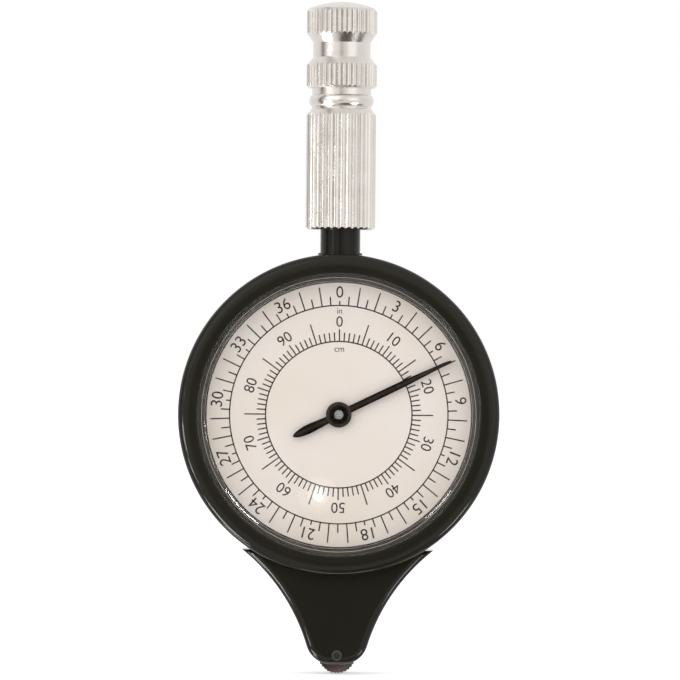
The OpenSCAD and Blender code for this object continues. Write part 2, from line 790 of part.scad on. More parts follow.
// The handle, turned from one bar
module handle() {
    bead_z = waist_z + bead_rise;
    bead_r = (pow(bead_h / 2, 2) + pow((bead_d - waist_d) / 2, 2)) / (bead_d - waist_d);
    bead_half = asin(bead_h / 2 / bead_r);
    dome_r = (pow(knob_bevel_r, 2) + pow(dome_h, 2)) / (2 * dome_h);
    dome_half = asin(knob_bevel_r / dome_r);
    color("#d9d4cd") difference() {
        union() {
            fluted(barrel_d, barrel_ribs, [barrel_d / 2 - end_bevel, handle_z],
                handle_z + end_bevel, barrel_top, [waist_d / 2, waist_z]);
            rotate_extrude() polygon(concat(
                [[0, barrel_top], [waist_d / 2 - end_bevel, barrel_top], [waist_d / 2, waist_z]],
                arc_points([bead_d / 2 - bead_r, bead_z], bead_r, -bead_half, bead_half, round_steps),
                [[waist_d / 2, ring_z + end_bevel], [0, ring_z + end_bevel]]));
            fluted(knob_d, knob_ribs, [knob_d / 2 - end_bevel, ring_z],
                ring_z + end_bevel, ring_top, [neck_d / 2, neck_z]);
            translate([0, 0, ring_top])
                cylinder(d = neck_d, h = knob_z - ring_top);
            fluted(knob_d, knob_ribs, [neck_d / 2, neck_top], knob_z, knob_top, [knob_bevel_r, dome_z]);
            rotate_extrude() polygon(concat(
                [[0, knob_top], [knob_bevel_r, knob_top]],
                arc_points([0, handle_top - dome_r], dome_r, 90 - dome_half, 90, round_steps)));
        }
        translate([0, 0, handle_z - past])
            cylinder(d = spigot_d + 2 * fixed_fit, h = spigot_len + past + end_play);
    }
}

module tracing_wheel() {
    half = wheel_w / 2;
    face_r = wheel_r - wheel_bevel;
    front = [face_r, -half];
    back = [face_r, half];
    color("#8b8784") translate([0, 0, wheel_at[1]]) difference() {
        intersection() {
            slab(-half, half) polygon(ribbed_outline(wheel_r, wheel_serrations, serration_depth));
            rotate([-90, 0, 0]) rotate_extrude() polygon([
                [0, -half], front, beyond(front, [wheel_r, wheel_bevel - half]),
                beyond(back, [wheel_r, half - wheel_bevel]), back, [0, half]]);
        }
        rod([0, 0], wheel_arbor_d + 2 * fixed_fit, -wheel_w, wheel_w);
    }
}

// The tracing wheel's arbor, with its pinion cut in it and a flange behind the wheel
module wheel_pinion() {
    flange_t = gear_gap - end_play;
    color("#a5a3a0") {
        rod(wheel_at, wheel_arbor_d, chamber_front + end_play, rear_plate_y - end_play);
        rod(wheel_at, 2 * pinion_tip_r, wheel_w / 2, wheel_w / 2 + flange_t);
        gear(wheel_at, fine_module, pinion_teeth, wheel_phase, first_gear_y);
        rod(wheel_at, wheel_pivot_d, nose_front + pivot_sink, case_back - pivot_sink);
    }
}

// An arbor between the plates, with the seat and the flange of the gear at level seat_y
module arbor(at, seat_y) {
    rod(at, pivot_d, ledge_back + end_play, rear_plate_back - end_play);
    rod(at, arbor_d, front_plate_back + end_play, rear_plate_y - end_play);
    rod(at, seat_d, seat_y - gear_gap / 2, seat_y + gear_t);
    rod(at, flange_d, seat_y - gear_gap + end_play, seat_y);
}

// A gear pressed on its arbor's seat
module seated_gear(at, m, n, phase, y) {
    difference() {
        gear(at, m, n, phase, y);
        rod(at, seat_d + 2 * fixed_fit, y - past, y + gear_t + past);
    }
}

module idler_gear() {
    color("#c9a54f") seated_gear(idler_at, fine_module, idler_teeth, idler_phase, first_gear_y);
}

module idler_arbor() {
    color("#a5a3a0") arbor(idler_at, first_gear_y);
}

module first_gear() {
    color("#c9a54f") seated_gear(first_at, fine_module, first_teeth, first_phase, first_gear_y);
}

module first_pinion() {
    color("#a5a3a0") {
        arbor(first_at, first_gear_y);
        gear(first_at, main_module, pinion_teeth, 0, second_gear_y);
    }
}

module second_gear() {
    color("#c9a54f") seated_gear(second_at, main_module, second_teeth, second_phase, second_gear_y);
}

module second_pinion() {
    color("#a5a3a0") {
        arbor(second_at, second_gear_y);
        gear(second_at, main_module, pinion_teeth, 0, centre_gear_y);
    }
}

module centre_gear() {
    color("#c9a54f") seated_gear(centre_at, main_module, centre_teeth, centre_phase, centre_gear_y);
}

module centre_arbor() {
    color("#b9b4ac") {
        rod(centre_at, centre_arbor_d, arbor_front, centre_gear_y);
        rod(centre_at, seat_d, centre_gear_y - plate_gap + end_play, centre_gear_y + gear_t);
        rod(centre_at, flange_d, centre_gear_y + gear_t, second_gear_y - end_play);
        rod(centre_at, arbor_d, centre_gear_y + gear_t, rear_plate_y - end_play);
        rod(centre_at, pivot_d, rear_plate_y - gear_gap, rear_plate_back - end_play);
    }
}

module pointer() {
    half = [
        [root_w / 2, 0], [taper_w / 2, taper_start],
        [near_tip_w / 2, pointer_reach - near_tip], [0, pointer_reach]];
    tail = [
        [root_w / 2, -pointer_hub_d / 2], [tail_w / 2, tail_belly - tail_reach],
        [tail_w / 4, near_tip / 2 - tail_reach], [0, -tail_reach]];
    blade = concat(
        [for (i = [len(tail) - 1:-1:0]) tail[i]],
        half,
        [for (i = [len(half) - 2:-1:0]) [-half[i][0], half[i][1]]],
        [for (i = [0:len(tail) - 2]) [-tail[i][0], tail[i][1]]]);
    color("#141210") translate([0, 0, dial_z]) rotate([0, pointer_angle, 0]) difference() {
        union() {
            slab(blade_front, blade_front + pointer_t) polygon(blade);
            rod([0, 0], pointer_hub_d, blade_front, blade_front + pointer_t);
            rod([0, 0], boss_d, boss_front, boss_back);
        }
        rod([0, 0], centre_arbor_d + 2 * fixed_fit, boss_front - past, boss_back + past);
    }
}

front_shell();
rear_shell();
crystal();
dial();
front_plate();
rear_plate();
plate_pillars();
plate_screws();
movement_screws();
case_screws();
centre_bush();
wheel_bushes();
handle_stem();
handle();
tracing_wheel();
wheel_pinion();
idler_gear();
idler_arbor();
first_gear();
first_pinion();
second_gear();
second_pinion();
centre_gear();
centre_arbor();
pointer();
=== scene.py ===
"""Looks of a dial map measurer: gloss black case, printed dial, clear crystal, fluted handle.

Lengths are millimetres until a mesh is made, angles are degrees. The axes are the part's: +Z up
through the handle, the dial facing -Y, the origin where the tracing wheel touches the map.
"""
import math

import bpy
import bmesh
from mathutils import Matrix, Vector


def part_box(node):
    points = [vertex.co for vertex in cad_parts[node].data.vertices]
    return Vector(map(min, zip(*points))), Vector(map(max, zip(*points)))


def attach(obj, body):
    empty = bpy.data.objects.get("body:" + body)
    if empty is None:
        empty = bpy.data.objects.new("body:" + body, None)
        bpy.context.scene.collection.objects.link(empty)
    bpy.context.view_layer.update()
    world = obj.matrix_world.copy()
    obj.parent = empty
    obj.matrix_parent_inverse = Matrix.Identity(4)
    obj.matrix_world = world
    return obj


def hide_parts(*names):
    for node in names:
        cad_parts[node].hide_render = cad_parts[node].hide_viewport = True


MM = 0.001

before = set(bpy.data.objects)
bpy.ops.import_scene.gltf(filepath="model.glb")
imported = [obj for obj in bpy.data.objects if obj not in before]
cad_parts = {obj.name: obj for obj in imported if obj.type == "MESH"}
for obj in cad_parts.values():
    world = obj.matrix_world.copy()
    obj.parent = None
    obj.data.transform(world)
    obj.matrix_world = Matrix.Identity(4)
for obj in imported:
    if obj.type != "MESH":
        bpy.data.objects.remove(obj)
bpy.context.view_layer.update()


def middle(node):
    """The middle of a node's box, in millimetres."""
    low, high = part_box(node)
    return [(low[i] + high[i]) / 2 / MM for i in range(3)]


# ---------------------------------------------------------------- sizes, as in the part's source
# A name ending in _R is a radius. Levels such as CREST run along Y, those ending in _Z are heights,
# and a pair of numbers is a point (x, z).

CASE_R = 25.0
INNER_R = 23.4
SEAT_R = 22.0
LEDGE_R = 20.3
CREST = -7.2
NOSE_FRONT = -5.0
LEDGE_FRONT = -3.2
LEDGE_BACK = -1.5
INNER_BACK = 4.6
CASE_BACK = 6.1
BEZEL_ROUND = 1.3
BEZEL_LIP = 0.16
BACK_ROUND = 1.0
NOSE_ROUND = 1.1
NOSE_WALL = 1.1
DIAL_Z = middle("dial")[2]
WHEEL_Z = middle("tracing_wheel")[2]

SHOULDER = (14.9, DIAL_Z - 21.0625)
TIP_CENTRE = (0.9, 5.6)
TIP_ROUND = 4.0
FLANK_CENTRE = (33.81184, -4.408535)
FLANK_R = 30.4
TIP_END = math.degrees(
    math.atan2(FLANK_CENTRE[1] - TIP_CENTRE[1], FLANK_CENTRE[0] - TIP_CENTRE[0])
)
PASSAGE_LOW, PASSAGE_HIGH = (9.6, 17.2), (15.7, 30.06)

CRYSTAL_R = 21.98
CRYSTAL_FRONT = -6.9
CRYSTAL_UNDER = -5.8
CRYSTAL_WALL = 1.25
CRYSTAL_BEVEL_W = 1.15
CRYSTAL_BEVEL_H = 0.74
DIAL_FRONT = -3.6
DIAL_R = 21.67
DIAL_HOLE_R = 1.2
RIM_R = 20.76

POINTER_TURN = 64.0
BLADE_FRONT = -4.6
BLADE_BACK = -4.35
BOSS_FRONT = -5.0
BOSS_BACK = -3.95
POINTER_REACH = 19.5
TAIL_REACH = 7.9
BORE_R = 0.72
HUB_R, HUB_EDGE = 1.3, 0.12
FLANGE_R, FLANGE_EDGE = 2.0, 0.1
BLADE_RISE = 0.04

HANDLE_Z = 69.305
BARREL_TOP = 87.155
WAIST_Z = 88.255
RING_Z = 91.405
RING_TOP = 94.955
NECK_Z = 96.205
NECK_TOP = 98.505
KNOB_Z = 100.105
KNOB_TOP = 103.305
DOME_Z = 103.855
HANDLE_TOP = 104.905
BARREL_R = 5.45
WAIST_R = 4.6
BEAD_R = 5.025
BEAD_Z = WAIST_Z + 1.15
BEAD_H = 1.9
KNOB_R = 5.5
NECK_R = 4.475
GROOVE = 0.28
END_BEVEL = 0.38
BARREL_RIBS = 31
KNOB_RIBS = 40
SPIGOT_R = 2.52
SPIGOT_TOP = 81.355


# ---------------------------------------------------------------- building meshes


def mesh_piece(name, points, faces):
    """A closed mesh object from points in millimetres."""
    mesh = bpy.data.meshes.new(name)
    mesh.from_pydata([[c * MM for c in p] for p in points], [], faces)
    work = bmesh.new()
    work.from_mesh(mesh)
    bmesh.ops.recalc_face_normals(work, faces=work.faces[:])
    work.to_mesh(mesh)
    work.free()
    piece = bpy.data.objects.new(name, mesh)
    bpy.context.scene.collection.objects.link(piece)
    return piece


def arc(centre, radius, start, end, steps):
    """Points of an arc from one angle to another."""
    turns = [math.radians(start + (end - start) * i / steps) for i in range(steps + 1)]
    return [(centre[0] + radius * math.cos(a), centre[1] + radius * math.sin(a)) for a in turns]


def turned(name, profile, place, upright=False, segments=256):
    """A profile of (radius, level) points turned round the dial's axis, or round an upright one."""
    points, rings = [], []
    for radius, level in profile:
        count = segments if radius > 1e-6 else 1
        rings.append(range(len(points), len(points) + count))
        for k in range(count):
            a = 2 * math.pi * k / segments
            x, y = radius * math.cos(a), radius * math.sin(a)
            if upright:
                points.append((place[0] + x, place[1] + y, level))
            else:
                points.append((place[0] + x, level, place[1] + y))
    faces = []
    for i, ring in enumerate(rings):
        other = rings[(i + 1) % len(rings)]
        if len(ring) == 1 and len(other) == 1:
            continue
        for k in range(segments):
            n = (k + 1) % segments
            corners = [(ring, k), (other, k), (other, n), (ring, n)]
            faces.append(list(dict.fromkeys(r[i % len(r)] for r, i in corners)))
    return mesh_piece(name, points, faces)


def stacked(name, rings):
    """A solid through rings of points, all with the same count, closed by flat ends."""
    count = len(rings[0])
    points = [p for ring in rings for p in ring]
    faces = [list(range(count)), list(range(len(points) - count, len(points)))]
    for i in range(len(rings) - 1):
        for k in range(count):
            n = (k + 1) % count
            faces.append([i * count + k, i * count + n, (i + 1) * count + n, (i + 1) * count + k])
    return mesh_piece(name, points, faces)


def slab(name, outline, y0, y1):
    """A flat outline of (x, z) points raised between two levels."""
    return stacked(name, [[(x, y, z) for x, z in outline] for y in (y0, y1)])


def rod(name, at, radius, y0, y1, segments=64):
    """A round bar along Y at a point (x, z)."""
    return slab(name, arc(at, radius, 0, 360 - 360 / segments, segments - 1), y0, y1)


def combine(base, tools, operation):
    """Adds or cuts away the tools, one after the other."""
    for tool in tools:
        step = base.modifiers.new(operation, "BOOLEAN")
        step.operation, step.object, step.solver = operation, tool, "MANIFOLD"
        bpy.context.view_layer.update()
        shape = base.evaluated_get(bpy.context.evaluated_depsgraph_get())
        made = bpy.data.meshes.new_from_object(shape)
        base.modifiers.clear()
        base.data = made
        bpy.data.objects.remove(tool)
    return base


def joined(base, *tools):
    return combine(base, tools, "UNION")


def cut(base, *tools):
    return combine(base, tools, "DIFFERENCE")


def smooth(piece, angle=25):
    """Smooth shading between faces that meet at less than an angle, flat faces kept flat."""
    work = bmesh.new()
    work.from_mesh(piece.data)
    bmesh.ops.remove_doubles(work, verts=work.verts[:], dist=1e-7)
    bmesh.ops.dissolve_degenerate(work, edges=work.edges[:], dist=1e-7)
    for face in work.faces:
        face.smooth = True
    for edge in work.edges:
        edge.smooth = len(edge.link_faces) == 2 and edge.calc_face_angle(0) < math.radians(angle)
    work.to_mesh(piece.data)
    work.free()
    even = piece.modifiers.new("even_normals", "WEIGHTED_NORMAL")
    even.keep_sharp = True
    return piece


# ---------------------------------------------------------------- materials


class Value:
    """A number or colour worked out by a finish, which can be used in sums."""

    def __init__(self, finish, socket):
        self.finish, self.socket = finish, socket

    def sum(self, operation, *terms):
        return self.finish.node("ShaderNodeMath", {"operation": operation}, dict(enumerate(terms)))

    def __add__(self, other):
        return self.sum("ADD", self, other)

    def __sub__(self, other):
        return self.sum("SUBTRACT", self, other)

    def __rsub__(self, other):
        return self.sum("SUBTRACT", other, self)

    def __mul__(self, other):
        return self.sum("MULTIPLY", self, other)

    def __truediv__(self, other):
        return self.sum("DIVIDE", self, other)

    def __pow__(self, other):
        return self.sum("POWER", self, other)

    __radd__, __rmul__ = __add__, __mul__

    def most(self, other):
        return self.sum("MAXIMUM", self, other)

    def ramp(self, low, high, start=0.0, end=1.0):
        """Goes smoothly from start to end while the value goes from low to high."""
        return self.finish.node(
            "ShaderNodeMapRange",
            {"interpolation_type": "SMOOTHSTEP"},
            {0: self, 1: low, 2: high, 3: start, 4: end},
        )


class Finish:
    """The node tree of a material or of the world."""

    def __init__(self, owner):
        owner.use_nodes = True
        self.owner, self.tree = owner, owner.node_tree
        self.tree.nodes.clear()

    def node(self, kind, settings=None, inputs=None, output=0):
        made = self.tree.nodes.new(kind)
        for name, value in (settings or {}).items():
            setattr(made, name, value)
        for key, value in (inputs or {}).items():
            if isinstance(value, Value):
                self.tree.links.new(value.socket, made.inputs[key])
            else:
                made.inputs[key].default_value = value
        return Value(self, made.outputs[output]) if len(made.outputs) else made

    def place(self):
        """Where the point lies on the piece, in millimetres."""
        point = self.node("ShaderNodeTexCoord", output="Object")
        return self.node(
            "ShaderNodeVectorMath", {"operation": "SCALE"}, {0: point, "Scale": 1 / MM}
        )

    def apart(self, point):
        """The three parts of a point."""
        return [
            self.node("ShaderNodeSeparateXYZ", None, {0: point}, output=axis) for axis in "XYZ"
        ]

    def size_of(self, value):
        """A value without its sign."""
        return self.node("ShaderNodeMath", {"operation": "ABSOLUTE"}, {0: value})

    def stretched(self, point, scale):
        return self.node("ShaderNodeVectorMath", {"operation": "MULTIPLY"}, {0: point, 1: scale})

    def path(self, kind):
        """1 for rays of one kind."""
        return self.node("ShaderNodeLightPath", output=kind)

    def noise(self, point, scale, detail=3.0, roughness=0.5):
        return self.node(
            "ShaderNodeTexNoise",
            None,
            {"Vector": point, "Scale": scale, "Detail": detail, "Roughness": roughness},
        )

    def tint(self, share, low, high):
        """A colour between two, by a share from 0 to 1."""
        return self.mix(share, (*low, 1), (*high, 1))

    def mix(self, share, low, high):
        """As tint, between colours or worked-out values."""
        return self.node(
            "ShaderNodeMix", {"data_type": "RGBA"}, {0: share, 6: low, 7: high}, output=2
        )

    def bump(self, height, depth):
        """A normal from a height, depth in millimetres."""
        return self.node(
            "ShaderNodeBump", None, {"Strength": 1.0, "Distance": depth * MM, "Height": height}
        )

    def surface(self, constants, varying):
        """A Principled shader: constants set on it, the rest linked to it."""
        return self.node("ShaderNodeBsdfPrincipled", None, {**constants, **varying})

    def finish(self, shader):
        self.node("ShaderNodeOutputMaterial", None, {"Surface": shader})
        return self.owner


def new_finish(name):
    return Finish(bpy.data.materials.new(name))


def gloss_black(name, dark, light, roughness):
    """Moulded gloss black: nearly even, with faint ripples, dust and fine rubbing marks."""
    f = new_finish(name)
    at = f.place()
    cloud = f.noise(at, 0.09, 4)
    dust = f.noise(at, 2.6, 2).ramp(0.66, 0.78)
    rub = f.noise(f.stretched(at, (3.0, 3.0, 0.35)), 2.2, 3).ramp(0.52, 0.8)
    ripple = f.noise(at, 0.35, 2)
    return f.finish(
        f.surface(
            {"IOR": 1.27},
            {
                "Base Color": f.tint((cloud * 0.7 + dust * 0.3).ramp(0.25, 0.8), dark, light),
                "Roughness": rub * 0.07 + cloud.ramp(0.3, 0.7, 0, 0.04) + roughness,
                "Normal": f.bump(ripple + f.noise(at, 3.0, 2) * 0.08, 0.02),
            },
        )
    )


def bright_metal(name, dark, light, roughness, lines=(1.0, 1.0, 1.0), depth=0.002):
    """Turned or rolled metal: fine lines along one way and faint cloudy tarnish."""
    f = new_finish(name)
    at = f.place()
    cloud = f.noise(at, 0.35, 4)
    line = f.noise(f.stretched(at, lines), 1.0, 3)
    return f.finish(
        f.surface(
            {"Metallic": 1.0},
            {
                "Base Color": f.tint(cloud.ramp(0.3, 0.72), dark, light),
                "Roughness": line * 0.1 + cloud.ramp(0.35, 0.7, 0.0, 0.06) + roughness,
                "Normal": f.bump(line, depth),
            },
        )
    )


def dial_paint(name):
    """Warm white paint, a little uneven, with faint specks, and a painted dark band at the rim
    under the crystal's wall.
    """
    f = new_finish(name)
    at = f.place()
    cloud = f.noise(at, 0.06, 3)
    speck = f.noise(at, 1.9, 2).ramp(0.7, 0.8)
    tone = f.tint(cloud.ramp(0.3, 0.7), (0.858, 0.760, 0.676), (0.893, 0.814, 0.770))
    x, y, z = f.apart(at)
    out = (x * x + (z - DIAL_Z) * (z - DIAL_Z)) ** 0.5
    # painted shade and reflection: the rim under the crystal's wall is dark brown-grey, standing in
    # for the dark band seen through that wall
    rim = out.ramp(RIM_R - 0.03, RIM_R + 0.03)
    specked = f.mix(speck * 0.08, tone, (0.62, 0.53, 0.44, 1))
    return f.finish(
        f.surface(
            {"IOR": 1.45, "Specular IOR Level": 0.3},
            {
                "Base Color": f.mix(rim, specked, (0.10, 0.088, 0.078, 1)),
                "Roughness": cloud.ramp(0.3, 0.7, 0.42, 0.52),
                "Normal": f.bump(f.noise(at, 4.0, 2), 0.002),
            },
        )
    )


def print_ink(name):
    """Brown-black ink, a little thinner in places."""
    f = new_finish(name)
    at = f.place()
    thin = f.noise(at, 1.1, 4)
    return f.finish(
        f.surface(
            {"IOR": 1.45, "Specular IOR Level": 0.3},
            {
                "Base Color": f.tint(
                    thin.ramp(0.4, 0.75), (0.022, 0.017, 0.014), (0.12, 0.095, 0.08)
                ),
                "Roughness": thin.ramp(0.3, 0.7, 0.45, 0.6),
            },
        )
    )


def black_enamel(name):
    """Thin black enamel, with a painted sheen along the ridge, and paler round the hub."""
    f = new_finish(name)
    at = f.place()
    cloud = f.noise(at, 0.8, 3)
    x, y, z = f.apart(at)
    z = z - DIAL_Z
    turn = math.radians(POINTER_TURN)
    aside = f.size_of(x * math.cos(turn) - z * math.sin(turn))
    out = (x * x + z * z) ** 0.5
    # painted highlight: a paler line along the blade's ridge stands for the sheen on it
    ridge = aside.ramp(0.32, 0.16) * out.ramp(1.9, 2.1)
    rim = out.ramp(1.35, 1.6) * out.ramp(2.1, 1.9)
    ridge_sheen_and_pale_hub = (ridge * 0.55).most(rim) * cloud.ramp(0.3, 0.6, 0.6, 1.0)
    return f.finish(
        f.surface(
            {"IOR": 1.3, "Specular IOR Level": 0.25},
            {
                "Base Color": f.tint(ridge_sheen_and_pale_hub, (0.0030, 0.0020, 0.0014), (0.050, 0.039, 0.031)),
                "Roughness": cloud.ramp(0.3, 0.7, 0.22, 0.34),
                "Normal": f.bump(f.noise(at, 3.0, 2), 0.003),
            },
        )
    )


def clear_crystal(name):
    """Clear acrylic that lets the lamps through to the dial."""
    f = new_finish(name)
    at = f.place()
    haze = f.noise(f.stretched(at, (1.0, 1.0, 2.5)), 1.4, 3).ramp(0.6, 0.85)
    shader = f.surface(
        {"Base Color": (0.985, 0.985, 0.975, 1), "IOR": 1.49, "Transmission Weight": 1.0},
        {"Roughness": haze * 0.006, "Normal": f.bump(f.noise(at, 0.12, 2), 0.003)},
    )
    through = f.path("Is Shadow Ray").most(f.path("Is Diffuse Ray"))
    open_way = f.node("ShaderNodeBsdfTransparent", None, {"Color": (0.985, 0.985, 0.98, 1)})
    return f.finish(f.node("ShaderNodeMixShader", None, {0: through, 1: shader, 2: open_way}))


ROUND_Y = (5.0, 1.0, 5.0)  # lines of a piece turned round the dial's axis

case_black = gloss_black(
    "case_gloss_black", (0.0160, 0.0146, 0.0102), (0.0212, 0.0192, 0.0138), 0.08
)
stem_black = gloss_black(
    "stem_gloss_black", (0.0130, 0.0117, 0.0088), (0.0170, 0.0152, 0.0116), 0.12
)
handle_metal = bright_metal(
    "handle_polished_metal", (0.70, 0.656, 0.610), (0.76, 0.720, 0.679), 0.18,
    (1.2, 1.2, 3.0), 0.0003,
)
brass = bright_metal(
    "movement_brass", (0.62, 0.43, 0.16), (0.80, 0.60, 0.27), 0.2, (0.8, 0.8, 9.0)
)
steel = bright_metal("bright_steel", (0.42, 0.41, 0.40), (0.60, 0.59, 0.57), 0.18, (6.0, 1.0, 6.0))
screw_steel = bright_metal(
    "screw_steel", (0.30, 0.30, 0.30), (0.50, 0.49, 0.48), 0.24, (5.0, 5.0, 1.0)
)
bush_steel = bright_metal(
    "bush_steel", (0.085, 0.080, 0.072), (0.12, 0.113, 0.10), 0.28, ROUND_Y
)
pivot_steel = bright_metal(
    "pivot_steel", (0.035, 0.033, 0.030), (0.055, 0.052, 0.046), 0.3, ROUND_Y
)
# dark steel of the tracing wheel; its maroon tint is a painted reflection
wheel_steel = bright_metal(
    "wheel_steel", (0.060, 0.045, 0.045), (0.18, 0.135, 0.13), 0.26, ROUND_Y
)
dial_white = dial_paint("dial_warm_white")
dial_ink = print_ink("dial_ink")
pointer_black = black_enamel("pointer_enamel")
crystal_clear = clear_crystal("crystal_acrylic")


def place_piece(piece, body, slot, material, *nodes):
    """Puts a made piece on its body, in its finish, for the nodes it stands for; slot is not used.
    """
    piece.data.materials.clear()
    piece.data.materials.append(material)
    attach(piece, body)
    if nodes:
        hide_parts(*nodes)
    return piece


# ---------------------------------------------------------------- the two shells


def nose_outline(inset):
    """The nose's outline, drawn in by an inset, from the tip up both flanks to the shoulders."""
    radius = FLANK_R + inset
    rise = math.asin((SHOULDER[1] - inset - FLANK_CENTRE[1]) / radius)
    half = arc(TIP_CENTRE, TIP_ROUND - inset, -90, TIP_END, 14)
    half += arc(FLANK_CENTRE, radius, 180 + TIP_END, 180 - math.degrees(rise), 40)[1:]
    return half + [(-x, z) for x, z in reversed(half)]


def nose_solid(face, way, seam):
    """Half of the nose, from its rounded face to the seam. way is 1 in front, -1 behind."""
    rings = []
    for step in range(9):
        turn = math.radians(90 - 90 * step / 8)
        inset = NOSE_ROUND * (1 - math.cos(turn))
        level = face + way * NOSE_ROUND * (1 - math.sin(turn))
        rings.append([(x, level, z) for x, z in nose_outline(inset)])
    rings.append([(x, -way * seam, z) for x, z in nose_outline(0)])
    rings.append([(x, 0, z) for x, z in nose_outline(seam)])
    return stacked("nose", rings)


def hollow(y0, y1, floor):
    """The hollow inside both shells: the round room, the passage and the nose's room."""
    left_low, left_high = [(-x, z) for x, z in (PASSAGE_LOW, PASSAGE_HIGH)]
    passage = [left_low, PASSAGE_LOW, PASSAGE_HIGH, left_high]
    nose = [(x, z) for x, z in nose_outline(NOSE_WALL) if z > floor]
    return [
        rod("room", (0, DIAL_Z), INNER_R, y0, y1, 256),
        slab("passage", passage, y0, y1),
        slab("nose_room", nose, y0, y1),
    ]


SEAM = 0.07
DIAL_AT = (0.0, DIAL_Z)
NOSE_FLOOR = WHEEL_Z + 3.5
BOSS_AT_R, BOSS_R = 21.5, 2.3
TAP_R, TAP_END = 0.87, -2.77
SCREW_HOLE_R, HEAD_HOLE_R, HEAD_SEAT = 0.9, 1.54, 4.8
BUSH_HOLE_R = 0.82
CHAMBER_R, CHAMBER_HALF = 3.29, 1.1
STEM_SEAT_R, SEAT_EDGE = 3.475, 0.06
SEAT_ROOT, SEAT_TOP = 64.6, DIAL_Z + CASE_R + 0.2
BEYOND = 8  # past every face, for a tool that cuts right through

boss_turns = [math.radians(a) for a in (45, 135, 200, -20)]
bosses = [
    (BOSS_AT_R * math.cos(a), DIAL_Z + BOSS_AT_R * math.sin(a)) for a in boss_turns
]


def make_front_shell():
    """Bezel with a faint crown that is highest at top_r, ledge, and the front of the nose."""
    top_r, fall, lean = 22.9, 0.04, 4.2
    edge_r = CASE_R - BEZEL_ROUND + BEZEL_ROUND * math.sin(math.radians(lean))
    crown_r = [SEAT_R + BEZEL_LIP + (edge_r - SEAT_R - BEZEL_LIP) * i / 16 for i in range(1, 16)]
    outer = [(r, CREST + fall * (r - top_r) ** 2) for r in crown_r]
    edge_y = CREST + fall * (edge_r - top_r) ** 2 + BEZEL_ROUND * math.cos(math.radians(lean))
    outer += arc((CASE_R - BEZEL_ROUND, edge_y), BEZEL_ROUND, lean - 90, 0, 14)
    outer += [(CASE_R, -SEAM), (CASE_R - SEAM, 0), (INNER_R, 0), (INNER_R, LEDGE_BACK)]
    inner = [(LEDGE_R, LEDGE_BACK), (LEDGE_R, LEDGE_FRONT), (SEAT_R, LEDGE_FRONT)]
    inner += arc((SEAT_R + BEZEL_LIP, CREST + BEZEL_LIP + fall * 0.4), BEZEL_LIP, 180, 266, 8)
    shell = turned("front_shell_gloss", outer + inner, DIAL_AT)
    core = rod("core", DIAL_AT, CASE_R - 0.9, -BEYOND, 1, 256)
    nose = cut(nose_solid(NOSE_FRONT, 1, SEAM), core)
    shell = joined(shell, nose)
    shell = joined(shell, stem_seat(CREST + BEZEL_ROUND, -SEAM / 2))
    shell = cut(shell, *hollow(LEDGE_BACK, 1, NOSE_FLOOR))
    shell = joined(shell, *[rod("boss", at, BOSS_R, LEDGE_BACK - 0.2, 0) for at in bosses])
    shell = cut(shell, *[rod("hole", at, TAP_R, TAP_END, 1) for at in bosses])
    return smooth(cut(shell, bush_hole(-BEYOND, 1), chamber(-CHAMBER_HALF, 1)))


def bush_hole(y0, y1):
    """Hole for one of the wheel's bushes."""
    return rod("bush_hole", (0, WHEEL_Z), BUSH_HOLE_R, y0, y1)


def chamber(y0, y1):
    """Room for the tracing wheel in the nose's tip."""
    return rod("chamber", (0, WHEEL_Z), CHAMBER_R, y0, y1, 96)


def stem_seat(y0, y1):
    """The low round seat of the stem, cut to one shell's half."""
    flare = [
        (0, SEAT_ROOT), (STEM_SEAT_R, SEAT_ROOT), (STEM_SEAT_R, SEAT_TOP - SEAT_EDGE),
        (STEM_SEAT_R - SEAT_EDGE, SEAT_TOP), (0, SEAT_TOP),
    ]
    seat = turned("stem_seat", flare, (0, 0), True, 96)
    box = slab("half", [(-6, 60), (6, 60), (6, 70), (-6, 70)], y0, y1)
    return combine(seat, [box], "INTERSECT")


def make_rear_shell():
    """Flat back with an eased edge, and the rear of the nose."""
    outer = [(0, 0), (CASE_R - SEAM, 0), (CASE_R, SEAM)]
    outer += arc((CASE_R - BACK_ROUND, CASE_BACK - BACK_ROUND), BACK_ROUND, 0, 90, 14)
    shell = turned("rear_shell_gloss", outer + [(0, CASE_BACK)], DIAL_AT)
    core = rod("core", DIAL_AT, CASE_R - 1.1, -1, BEYOND, 256)
    nose = cut(nose_solid(CASE_BACK, -1, SEAM), core)
    shell = joined(shell, nose)
    shell = joined(shell, stem_seat(SEAM / 2, INNER_BACK))
    shell = cut(shell, *hollow(-1, INNER_BACK, NOSE_FLOOR))
    shell = joined(shell, *[rod("boss", at, BOSS_R, 0, INNER_BACK + 0.1) for at in bosses])
    shell = cut(shell, *[rod("hole", at, SCREW_HOLE_R, -1, BEYOND) for at in bosses])
    shell = cut(shell, *[rod("head_hole", at, HEAD_HOLE_R, HEAD_SEAT, BEYOND) for at in bosses])
    return smooth(cut(shell, bush_hole(-1, BEYOND), chamber(-1, CHAMBER_HALF)))


place_piece(make_front_shell(), "case", "case_black", case_black, "front_shell")
place_piece(make_rear_shell(), "case", "case_black", case_black, "rear_shell")


# ---------------------------------------------------------------- crystal, dial and its print


